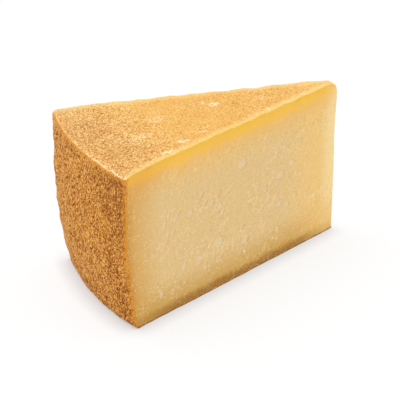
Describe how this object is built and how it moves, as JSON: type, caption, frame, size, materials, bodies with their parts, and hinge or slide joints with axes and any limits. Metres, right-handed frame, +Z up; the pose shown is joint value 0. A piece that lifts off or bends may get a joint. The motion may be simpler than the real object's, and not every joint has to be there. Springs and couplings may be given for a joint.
{
  "type": "wedge of aged asiago cheese",
  "caption": "Wedge of hard aged cheese cut from a round wheel, with a rough golden rind, standing on its flat underside.",
  "frame": {"origin": "on the resting surface, under the middle of the wedge's bounding box", "axes": "+X from the round rind heel to the tip, +Y across the wedge, +Z up through the wheel's height"},
  "size_m": [0.1724, 0.0929, 0.1027],
  "materials": {
    "cheese": "satin, pale golden paste with a darker grainy rind"
  },
  "bodies": {
    "root": {"cheese_wedge": "cheese"}
  },
  "joints": []
}
